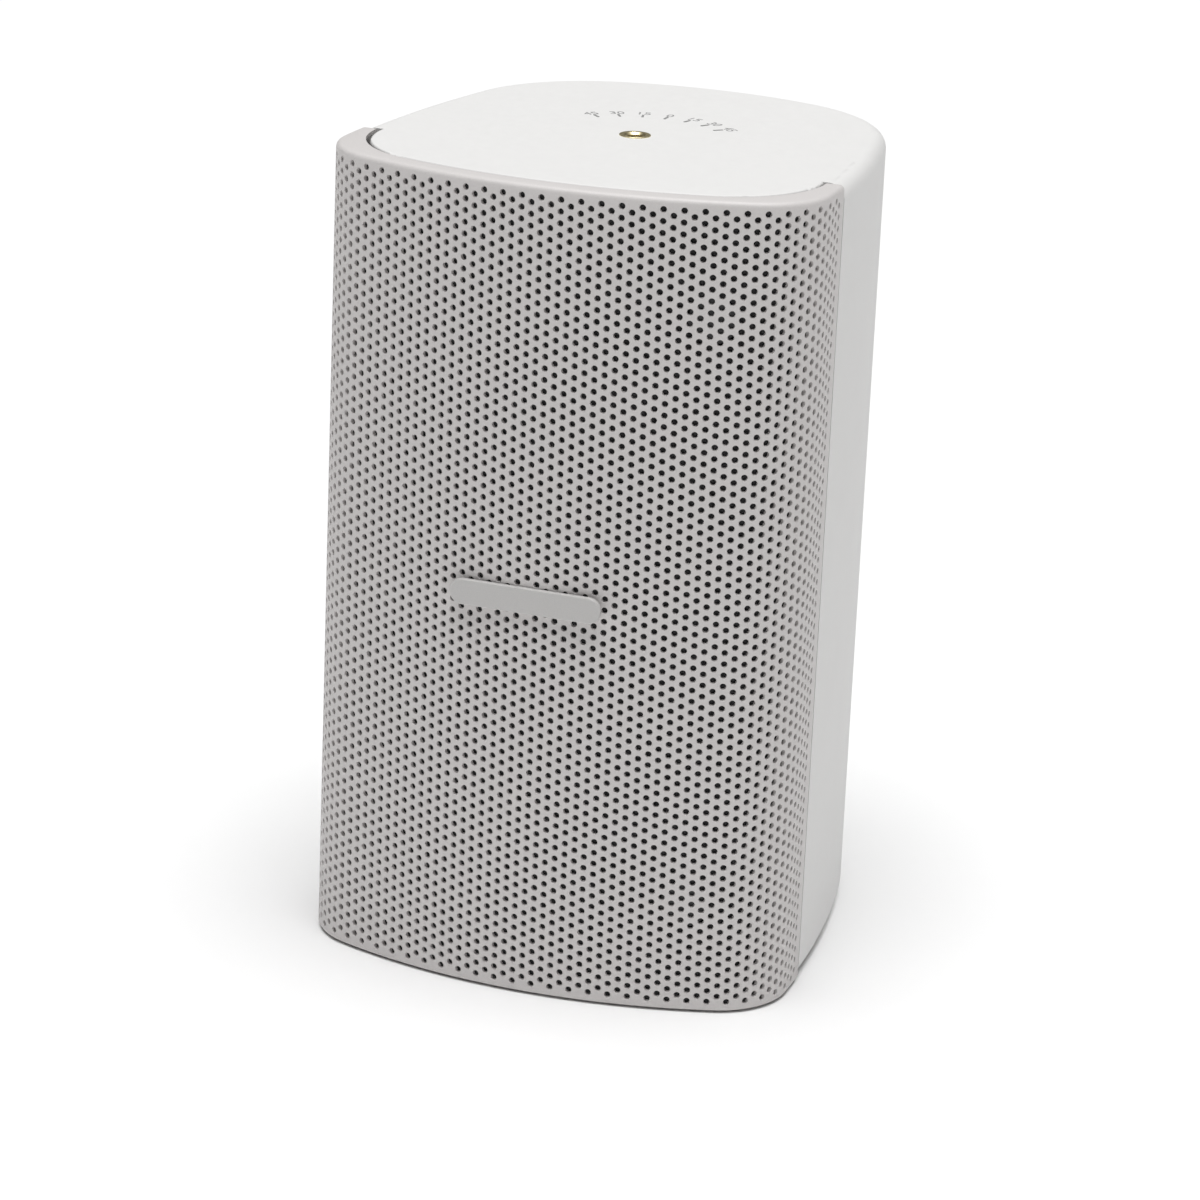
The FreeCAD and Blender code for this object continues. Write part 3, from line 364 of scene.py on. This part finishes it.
def rim_point(s):
    """Where the rim that is turned in at arc length s ends, beside the core."""
    point, out = BODY.at(s)
    near = 0.0
    far = 20.0
    for _ in range(30):
        depth = 0.5 * (near + far)
        q = point - out * depth
        if inside_core(q.x, q.y, RIM_GAP):
            far = depth
        else:
            near = depth
    return point - out * near


# --- grille: a punched and bent sheet -----------------------------------------------------


def hole_centres():
    """Centres of the punched holes in the unrolled sheet: staggered columns."""
    centres = []
    rows = int((SHEET_TOP - 2.0 * HOLE_MARGIN) / HOLE_PITCH + 0.5) + 1
    low = 0.5 * (SHEET_TOP - (rows - 1) * HOLE_PITCH)
    for column in range(-HOLE_COLUMNS, HOLE_COLUMNS + 1):
        s = column * HOLE_PITCH * sqrt(3.0) / 2.0
        odd = column % 2
        for k in range(rows - odd):
            z = low + (k + 0.5 * odd) * HOLE_PITCH
            if s * s + (z - BADGE_Z) ** 2 > (BUSH_RADIUS + HOLE_RADIUS + HOLE_WEB) ** 2:
                centres.append((s, z))
    return centres


def ring(centre, radius, count, phase):
    step = 2.0 * pi / count
    angles = [phase + step * i for i in range(count)]
    return [Vector((centre[0] + radius * cos(a), centre[1] + radius * sin(a))) for a in angles]


def punched(border, centres, count, phase):
    """Triangles of the unrolled sheet, with its border first and then each hole's ring."""
    points = list(border)
    loops = []
    for centre in centres:
        loops.append(range(len(points), len(points) + count))
        points += ring(centre, HOLE_RADIUS, count, phase)
    loops.append(range(len(points), len(points) + BUSH_SIDES))
    points += ring((0.0, BADGE_Z), BUSH_RADIUS, BUSH_SIDES, 0.0)
    faces = [list(range(len(border)))] + [list(loop) for loop in loops]
    out = delaunay_2d_cdt(points, [], faces, 1, 1e-6, True)
    if len(out[0]) != len(points):
        raise ValueError("the unrolled sheet's points were merged")
    order = [source[0] for source in out[3]]
    kept = [f for f, sources in zip(out[2], out[5]) if sources == [0]]
    return points, [[order[v] for v in f] for f in kept], loops


def sheet_border(s_values, low, high):
    """The unrolled sheet's border, anticlockwise, and the places of its four edges in it."""
    across = SPANS_ACROSS
    up = SPANS_UP
    z_values = [low + (high - low) * k / up for k in range(up + 1)]
    bottom = [Vector((s, low)) for s in s_values]
    right = [Vector((s_values[-1], z)) for z in z_values[1:]]
    top = [Vector((s, high)) for s in reversed(s_values[:-1])]
    left = [Vector((s_values[0], z)) for z in reversed(z_values[1:-1])]
    border = bottom + right + top + left
    edges = {
        "bottom": list(range(across + 1)),
        "right": list(range(across, across + up + 1)),
        "top": list(range(across + up + across, across + up - 1, -1)),
        "left": [0] + list(range(len(border) - 1, across + up + across - 1, -1)),
    }
    return border, edges


def sheet_faces(border):
    """Both sides of the sheet with its holes, wrapped round the body, and where each side starts."""
    verts = []
    faces = []
    sides = []
    centres = hole_centres()
    outside = (0.0, HOLE_SIDES_OUTSIDE, pi / HOLE_SIDES_OUTSIDE)
    inside = (SHEET, HOLE_SIDES_INSIDE, 0.0)
    for inset, count, phase in (outside, inside):
        points, triangles, loops = punched(border, centres, count, phase)
        base = len(verts)
        for p in points:
            plan, _ = BODY.at(p.x, inset)
            verts.append((plan.x, plan.y, p.y))
        sides.append((base, loops))
        if inset:
            triangles = [t[::-1] for t in triangles]
        faces += [[base + v for v in t] for t in triangles]
    return verts, faces, sides


def hole_walls(sides):
    """The walls of the punched holes, through the thickness of the sheet."""
    faces = []
    (outer, outer_loops), (inner, inner_loops) = sides
    for front, back in zip(outer_loops[:-1], inner_loops[:-1]):
        f = [outer + v for v in front]
        b = [inner + v for v in back]
        for j in range(HOLE_SIDES_INSIDE):
            faces.append((f[2 * j - 1], f[2 * j], b[j]))
            faces.append((f[2 * j], f[2 * j + 1], b[(j + 1) % HOLE_SIDES_INSIDE], b[j]))
    f = [outer + v for v in outer_loops[-1]]
    b = [inner + v for v in inner_loops[-1]]
    for j in range(BUSH_SIDES):
        faces.append((f[j], f[(j + 1) % BUSH_SIDES], b[(j + 1) % BUSH_SIDES], b[j]))
    return faces


def turned_rim(verts, s_values, ends, outer_edge, inner_edge, edge_z, way):
    """The rim along one edge of the sheet, turned in as far as ends. Adds to verts."""
    bend = [0.5 * pi * i / (BEND_STEPS - 1) for i in range(1, BEND_STEPS)]
    inner_bend = SHEET_BEND - SHEET
    lines = []
    for a in bend:
        inset = SHEET_BEND * (1.0 - cos(a))
        line = [BODY.at(s, inset)[0] for s in s_values]
        lines.append((line, edge_z + way * SHEET_BEND * sin(a)))
    lines.append((ends, edge_z + way * SHEET_BEND))
    lines.append((ends, edge_z + way * inner_bend))
    for a in reversed(bend):
        inset = SHEET_BEND - inner_bend * cos(a)
        line = [BODY.at(s, inset)[0] for s in s_values]
        lines.append((line, edge_z + way * inner_bend * sin(a)))

    rows = [outer_edge]
    for line, z in lines:
        rows.append(list(range(len(verts), len(verts) + len(line))))
        verts.extend((p.x, p.y, z) for p in line)
    rows.append(inner_edge)
    faces = []
    for a, b in zip(rows, rows[1:]):
        for j in range(SPANS_ACROSS):
            faces.append((a[j], a[j + 1], b[j + 1], b[j]))
    caps = []
    last = len(rows) - 1
    for k in range(BEND_STEPS):
        for j in (0, SPANS_ACROSS):
            caps.append((rows[k + 1][j], rows[k][j], rows[last - k][j], rows[last - k - 1][j]))
    return faces, caps


def grille_sheet():
    length = BODY.length
    low = SHEET_BEND
    high = SHEET_TOP - SHEET_BEND
    s_values = [-length + 2.0 * length * j / SPANS_ACROSS for j in range(SPANS_ACROSS + 1)]
    border, edges = sheet_border(s_values, low, high)
    verts, faces, sides = sheet_faces(border)
    faces += hole_walls(sides)
    outer = sides[0][0]
    inner = sides[1][0]
    ends = [rim_point(s) for s in s_values]
    caps = []
    for edge, z, way in (("top", high, 1.0), ("bottom", low, -1.0)):
        outer_edge = [outer + v for v in edges[edge]]
        inner_edge = [inner + v for v in edges[edge]]
        rim, rim_caps = turned_rim(verts, s_values, ends, outer_edge, inner_edge, z, way)
        faces += rim
        caps += rim_caps
    for edge in ("right", "left"):
        for a, b in zip(edges[edge], edges[edge][1:]):
            caps.append((outer + b, outer + a, inner + a, inner + b))
    made = piece("grille_sheet", verts, faces + caps, "grille_paint", "grille")
    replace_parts(made, "grille_tray")


grille_sheet()


# --- small solids -------------------------------------------------------------------------


def lofted(rings):
    """Vertices and faces of a solid through closed rings of equal length."""
    count = len(rings[0])
    verts = [p for ring_points in rings for p in ring_points]
    faces = [list(range(count)), list(range(len(verts) - count, len(verts)))]
    for k in range(len(rings) - 1):
        a = k * count
        b = a + count
        for j in range(count):
            i = (j + 1) % count
            faces.append((a + j, a + i, b + i, b + j))
    return verts, faces


def joined(parts):
    """One list of vertices and one of faces from several solids."""
    verts = []
    faces = []
    for part_verts, part_faces in parts:
        base = len(verts)
        verts += part_verts
        faces += [[base + v for v in face] for face in part_faces]
    return verts, faces


def rounded_outline(half_x, half_z, corner):
    """A rectangle about the origin with rounded corners."""
    steps = 6
    points = []
    for quarter, (sx, sz) in enumerate(((1, 1), (-1, 1), (-1, -1), (1, -1))):
        for i in range(steps + 1):
            a = 0.5 * pi * (quarter + i / steps)
            x = sx * (half_x - corner) + corner * cos(a)
            z = sz * (half_z - corner) + corner * sin(a)
            points.append((x, z))
    return points


def plate(centre, half_x, half_z, corner, back, front, edge):
    """A rounded plate across Y, from back to front, with its front edge chamfered."""
    side = 1.0 if front > back else -1.0
    rings = []
    for y, inset in ((back, 0.0), (front - side * edge, 0.0), (front, edge)):
        outline = rounded_outline(half_x - inset, half_z - inset, corner - 0.5 * inset)
        rings.append([(centre[0] + x, y, centre[1] + z) for x, z in outline])
    return lofted(rings)


# --- threaded inserts ---------------------------------------------------------------------

THREAD_MINOR = 2.5
THREAD_HEIGHT = 0.5
THREAD_PITCH = 1.0
THREAD_DEPTH = 13.8
ROWS_PER_PITCH = 6
THREAD_START = 0.7
MOUTH_RADIUS = 3.35
INSERT_LENGTH = 14.0
INSERT_CORNER = 4.76
INSERT_EDGE = 0.2
FLANGE_RADIUS = 4.85
FLANGE_EDGE = (0.1, 0.12)
AROUND = 48


def insert_solid(mouth, outward, corner_way, flange):
    """An insert with a screw thread. A flange of this height lies on the surface if given."""
    other = outward.cross(corner_way)
    angles = [2.0 * pi * i / AROUND for i in range(AROUND)]

    def turn(depth, radius_at):
        points = []
        for a in angles:
            out = corner_way * cos(a) + other * sin(a)
            points.append(mouth - outward * depth + out * radius_at(a))
        return points

    def hexagon(corner):
        return lambda a: corner * cos(pi / 6) / cos((a % (pi / 3)) - pi / 6)

    def circle(radius):
        return lambda a: radius

    def thread(depth):
        def radius_at(a):
            phase = (depth / THREAD_PITCH - a / (2.0 * pi)) % 1.0
            wave = (abs(phase - 0.5) * 2.0 - 0.2) / 0.6
            return THREAD_MINOR + THREAD_HEIGHT * min(1.0, max(0.0, wave))

        return radius_at

    rings = [turn(INSERT_LENGTH, hexagon(INSERT_CORNER))]
    if flange:
        rings.append(turn(flange, hexagon(INSERT_CORNER)))
        rings.append(turn(flange, circle(FLANGE_RADIUS)))
        rings.append(turn(FLANGE_EDGE[0], circle(FLANGE_RADIUS)))
        rings.append(turn(0.0, circle(FLANGE_RADIUS - FLANGE_EDGE[1])))
    else:
        rings.append(turn(INSERT_EDGE, hexagon(INSERT_CORNER)))
        rings.append(turn(0.0, hexagon(INSERT_CORNER - INSERT_EDGE)))
    rings.append(turn(0.0, circle(MOUTH_RADIUS)))
    rows = int((THREAD_DEPTH - THREAD_START) * ROWS_PER_PITCH / THREAD_PITCH)
    for k in range(rows):
        depth = THREAD_START + k * THREAD_PITCH / ROWS_PER_PITCH
        rings.append(turn(depth, thread(depth)))
    rings.append(turn(THREAD_DEPTH, circle(THREAD_MINOR)))
    return lofted(rings)


def threaded_inserts():
    x_way = Vector((1.0, 0.0, 0.0))
    y_way = Vector((0.0, 1.0, 0.0))
    z_way = Vector((0.0, 0.0, 1.0))
    top_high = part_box("top_pivot_insert")[1]
    base_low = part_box("bottom_pivot_insert")[0]
    pivot_y = mounts["top_pivot"].y
    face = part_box("angle_scale")[0].z / MM
    top = insert_solid(Vector((0.0, pivot_y, top_high.z / MM)), z_way, y_way, top_high.z / MM - face)
    base = insert_solid(Vector((0.0, pivot_y, base_low.z / MM)), -z_way, y_way, 0.0)
    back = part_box("tether_insert")[1].y / MM
    tether = insert_solid(Vector((0.0, back, mounts["safety_tether"].z)), y_way, x_way, 0.0)
    low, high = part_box("bracket_inserts")
    radius = INSERT_CORNER * cos(pi / 6)
    heights = (low.z / MM + radius, high.z / MM - radius)
    bracket = [insert_solid(Vector((0.0, back, z)), y_way, x_way, 0.0) for z in heights]
    for name, solid, node in (
        ("top_insert", top, "top_pivot_insert"),
        ("bottom_insert", base, "bottom_pivot_insert"),
        ("tether_insert_threaded", tether, "tether_insert"),
        ("bracket_inserts_threaded", joined(bracket), "bracket_inserts"),
    ):
        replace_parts(piece(name, *solid, "brass", "cabinet", sharp=30.0), node)


threaded_inserts()


# --- aiming scale -------------------------------------------------------------------------

NUMERAL_SIZE = 5.0
NUMERAL_GAP = 0.8
INK = 0.04


def angle_numbers():
    """A numeral in degrees outside each of the seven marks, its top away from the pivot."""
    low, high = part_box("angle_scale")
    radius = high.y / MM - mounts["top_pivot"].y + NUMERAL_GAP
    face = low.z / MM
    verts = []
    faces = []
    for turn in range(-45, 46, 15):
        curve = bpy.data.curves.new("numeral", "FONT")
        curve.body = str(abs(turn))
        curve.size = NUMERAL_SIZE
        curve.align_x = "CENTER"
        curve.resolution_u = 4
        curve.extrude = INK
        holder = bpy.data.objects.new("numeral", curve)
        mesh = holder.to_mesh()
        base = len(verts)
        way = Vector((-sin(radians(turn)), cos(radians(turn)), 0.0))
        across = Vector((way.y, -way.x, 0.0))
        origin = Vector((0.0, mounts["top_pivot"].y, face)) + way * radius
        for v in mesh.vertices:
            verts.append(origin + across * v.co.x + way * v.co.y + Vector((0.0, 0.0, v.co.z)))
        faces += [[base + v for v in face_of.vertices] for face_of in mesh.polygons]
        holder.to_mesh_clear()
        bpy.data.objects.remove(holder)
        bpy.data.curves.remove(curve)
    piece("angle_numbers", verts, faces, "mark_grey", "cabinet")


angle_numbers()


# --- rear connectors ----------------------------------------------------------------------


CONTACTS = 8
CONTACT_PITCH = 1.02
CONTACT_HALF = (0.17, 0.13)
CONTACT_PATH = ((12.6, 3.3), (11.2, 1.0), (10.6, 0.9), (3.0, 3.2), (2.4, 3.4))
LAMP_OFFSET = (5.6, -5.2)
LAMP_HALF = (1.4, 0.8)
PINS = 4
PIN_PITCH = 5.08
PIN_DROP = 2.0
PIN_PATH = ((9.4, 0.54), (3.3, 0.54), (2.7, 0.3))
LABEL_Z = 160.0
LABEL_HALF = (30.0, 14.0)
LABEL_CORNER = 1.5
CORNERS = ((-1, -1), (1, -1), (1, 1), (-1, 1))


def square_ring(x, y, z, half_x, half_z):
    return [(x + sx * half_x, y, z + sz * half_z) for sx, sz in CORNERS]


def rear_details():
    """Contacts, pins and lamps in the connectors, and a blank label on the panel."""
    socket = mounts["network_socket"]
    wires = []
    for k in range(CONTACTS):
        x = socket.x + (k - 0.5 * (CONTACTS - 1)) * CONTACT_PITCH
        rings = [square_ring(x, socket.y - back, socket.z + up, *CONTACT_HALF) for back, up in CONTACT_PATH]
        wires.append(lofted(rings))
    piece("socket_contacts", *joined(wires), "brass", "cabinet")

    lamps = []
    for side in (-1.0, 1.0):
        centre = (socket.x + side * LAMP_OFFSET[0], socket.z + LAMP_OFFSET[1])
        lamps.append(plate(centre, *LAMP_HALF, 0.3, socket.y - 1.0, socket.y + 0.12, 0.1))
    piece("socket_lamps", *joined(lamps), "light_pipe", "cabinet")

    header = mounts["terminal_socket"]
    pins = []
    for k in range(PINS):
        x = header.x + (k - 0.5 * (PINS - 1)) * PIN_PITCH
        z = header.z - PIN_DROP
        pins.append(lofted([square_ring(x, header.y - back, z, half, half) for back, half in PIN_PATH]))
    piece("terminal_pins", *joined(pins), "steel_zinc", "cabinet")

    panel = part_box("input_panel")[1].y / MM
    label = plate((0.0, LABEL_Z), *LABEL_HALF, LABEL_CORNER, panel - 0.1, panel + 0.12, 0.04)
    piece("blank_label", *label, "badge_grey", "cabinet")


rear_details()


# --- floor, light and camera --------------------------------------------------------------


FLOOR_HALF = 12.0
FLOOR_Z = -0.0005

CAMERA_AZIMUTH = 19.57
CAMERA_ELEVATION = 18.25
CAMERA_ROLL = 2.48
CAMERA_TARGET = (-0.0048, -0.0009, 0.1019)
CAMERA_DISTANCE = 1.3853
CAMERA_LENS = 131.81


def stage_floor():
    mesh = bpy.data.meshes.new("floor")
    corners = [(x * FLOOR_HALF, y * FLOOR_HALF, FLOOR_Z) for x, y in CORNERS]
    mesh.from_pydata(corners, [], [(0, 1, 2, 3)])
    m = Nodes("floor_paper", (0.93, 0.93, 0.93), 0.9)
    m.tint(m.noise(60.0, 2.0), 0.004)
    mesh.materials.append(m.material)
    floor = bpy.data.objects.new("floor", mesh)
    bpy.context.scene.collection.objects.link(floor)


def area_light(name, place, target, size, power):
    data = bpy.data.lights.new(name, "AREA")
    data.shape = "DISK"
    data.size = size
    data.energy = power
    light = bpy.data.objects.new(name, data)
    light.location = place
    light.rotation_euler = (Vector(target) - Vector(place)).to_track_quat("-Z", "Y").to_euler()
    bpy.context.scene.collection.objects.link(light)


def lights():
    """A wide overhead sun, a window to the right, and a room that looks white but lights dimly."""
    world = bpy.data.worlds.new("studio")
    bpy.context.scene.world = world
    world.use_nodes = True
    nodes = world.node_tree.nodes
    links = world.node_tree.links
    nodes["Background"].inputs["Color"].default_value = (1.0, 1.0, 1.0, 1.0)
    nodes["Background"].inputs["Strength"].default_value = 0.07
    backdrop = nodes.new("ShaderNodeBackground")
    backdrop.inputs["Color"].default_value = (1.0, 1.0, 1.0, 1.0)
    chooser = nodes.new("ShaderNodeMixShader")
    links.new(nodes.new("ShaderNodeLightPath").outputs["Is Camera Ray"], chooser.inputs["Fac"])
    links.new(nodes["Background"].outputs["Background"], chooser.inputs[1])
    links.new(backdrop.outputs["Background"], chooser.inputs[2])
    links.new(chooser.outputs["Shader"], nodes["World Output"].inputs["Surface"])
    ceiling = bpy.data.lights.new("ceiling", "SUN")
    ceiling.energy = 3.35
    ceiling.angle = radians(45.0)
    above = bpy.data.objects.new("ceiling", ceiling)
    above.rotation_euler = (radians(5.0), radians(2.0), 0.0)
    bpy.context.scene.collection.objects.link(above)
    area_light("window", (1.1, -1.6, 0.9), (0.0, 0.0, 0.12), 0.9, 0.5)
    bpy.context.scene.view_settings.view_transform = "Standard"


def camera():
    azimuth = radians(CAMERA_AZIMUTH)
    elevation = radians(CAMERA_ELEVATION)
    roll = radians(CAMERA_ROLL)
    back = Vector((sin(azimuth) * cos(elevation), -cos(azimuth) * cos(elevation), sin(elevation)))
    right = Vector((cos(azimuth), sin(azimuth), 0.0))
    up = back.cross(right)
    turned_right = right * cos(roll) + up * sin(roll)
    turned_up = up * cos(roll) - right * sin(roll)
    data = bpy.data.cameras.new("camera")
    data.sensor_width = 36.0
    data.lens = CAMERA_LENS
    data.clip_start = 0.05
    seen = bpy.data.objects.new("camera", data)
    axes = Matrix((turned_right, turned_up, back)).transposed()
    seen.matrix_world = Matrix.Translation(Vector(CAMERA_TARGET) + back * CAMERA_DISTANCE) @ axes.to_4x4()
    bpy.context.scene.collection.objects.link(seen)
    bpy.context.scene.camera = seen


stage_floor()
lights()
camera()
